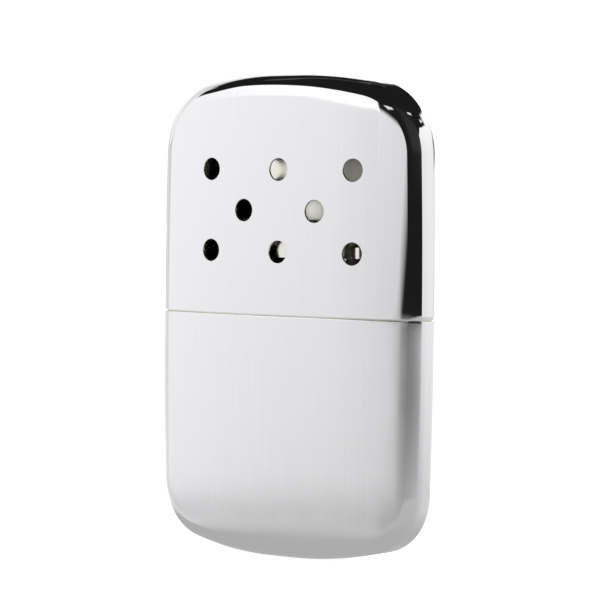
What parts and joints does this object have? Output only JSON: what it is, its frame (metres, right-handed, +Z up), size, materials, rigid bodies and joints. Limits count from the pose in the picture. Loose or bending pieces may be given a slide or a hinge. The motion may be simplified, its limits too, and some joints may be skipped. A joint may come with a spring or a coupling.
{
  "type": "catalytic hand warmer",
  "caption": "Pocket catalytic hand warmer: a slim rounded metal case with a vented pull-off lid over an oval burner and a wadding-filled fuel tank.",
  "frame": {"origin": "middle of the flat land that the base stands on", "axes": "+Z up from the base to the crown of the lid, +X across the width of the case, +Y from its front to its back"},
  "size_m": [0.067, 0.013, 0.099],
  "materials": {
    "polished_chrome": "mirror-polished chrome plate on a drawn shell",
    "satin_chrome": "chrome plate on a drawn shell, a little softer than the lid",
    "plated_collar": "bright nickel plate",
    "burner_steel": "pressed stainless steel, tinted by heat",
    "steel_gauze": "woven wire",
    "glass_fibre_mat": "matted glass fibre, grey from its platinum coat",
    "wool_felt": "pressed felt",
    "cotton_wadding": "loose cotton"
  },
  "bodies": {
    "tank": {"tank_shell": "satin_chrome", "tank_collar": "plated_collar", "filler_neck": "plated_collar", "neck_wick": "wool_felt", "neck_screen": "steel_gauze", "screen_ring": "plated_collar", "wadding_front": "cotton_wadding", "wadding_middle": "cotton_wadding", "wadding_back": "cotton_wadding"},
    "burner": {"burner_skirt": "burner_steel", "burner_floor": "burner_steel", "lower_gauze": "steel_gauze", "catalyst_mat": "glass_fibre_mat", "upper_gauze": "steel_gauze", "burner_hood": "burner_steel"},
    "lid": {"lid_shell": "polished_chrome"}
  },
  "joints": [
    {"name": "lid_slide", "type": "slide", "parent": "tank", "child": "lid", "axis": [0, 0, 1], "range_m": [0, 0.06]},
    {"name": "burner_slide", "type": "slide", "parent": "tank", "child": "burner", "axis": [0, 0, 1], "range_m": [0, 0.012]}
  ]
}
